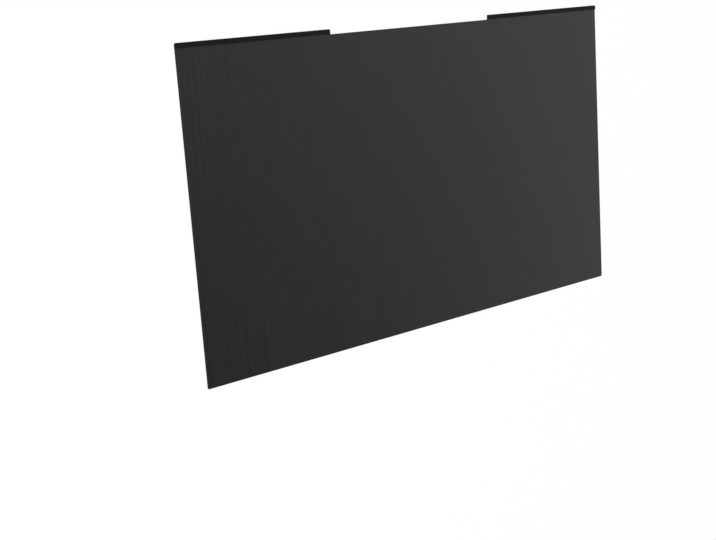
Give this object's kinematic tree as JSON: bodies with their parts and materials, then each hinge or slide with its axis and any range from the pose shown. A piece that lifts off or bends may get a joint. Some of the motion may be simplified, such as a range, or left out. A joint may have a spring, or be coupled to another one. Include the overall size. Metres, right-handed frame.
{
  "type": "monitor privacy filter",
  "caption": "Thin dark louvre-film sheet with low tabs on its top edge, a slim black magnetic strip on each tab, and a shallow gap between them that clears a monitor's camera.",
  "frame": {"origin": "under the middle of the sheet, on its rear face, which is the face it lies on", "axes": "+X along the width, to the right as the front is seen; +Y up the sheet, from its bottom edge to the tabs and strips; +Z out of the front face"},
  "size_m": [0.51, 0.2916, 0.0018],
  "materials": {
    "louvre_film": "fine anti-glare matt face on a near-black louvre film, all but opaque from the side",
    "magnet_rubber": "satin black flexible magnet"
  },
  "bodies": {
    "root": {"filter_film": "louvre_film", "magnet_strip_left": "magnet_rubber", "magnet_strip_right": "magnet_rubber"}
  },
  "joints": []
}
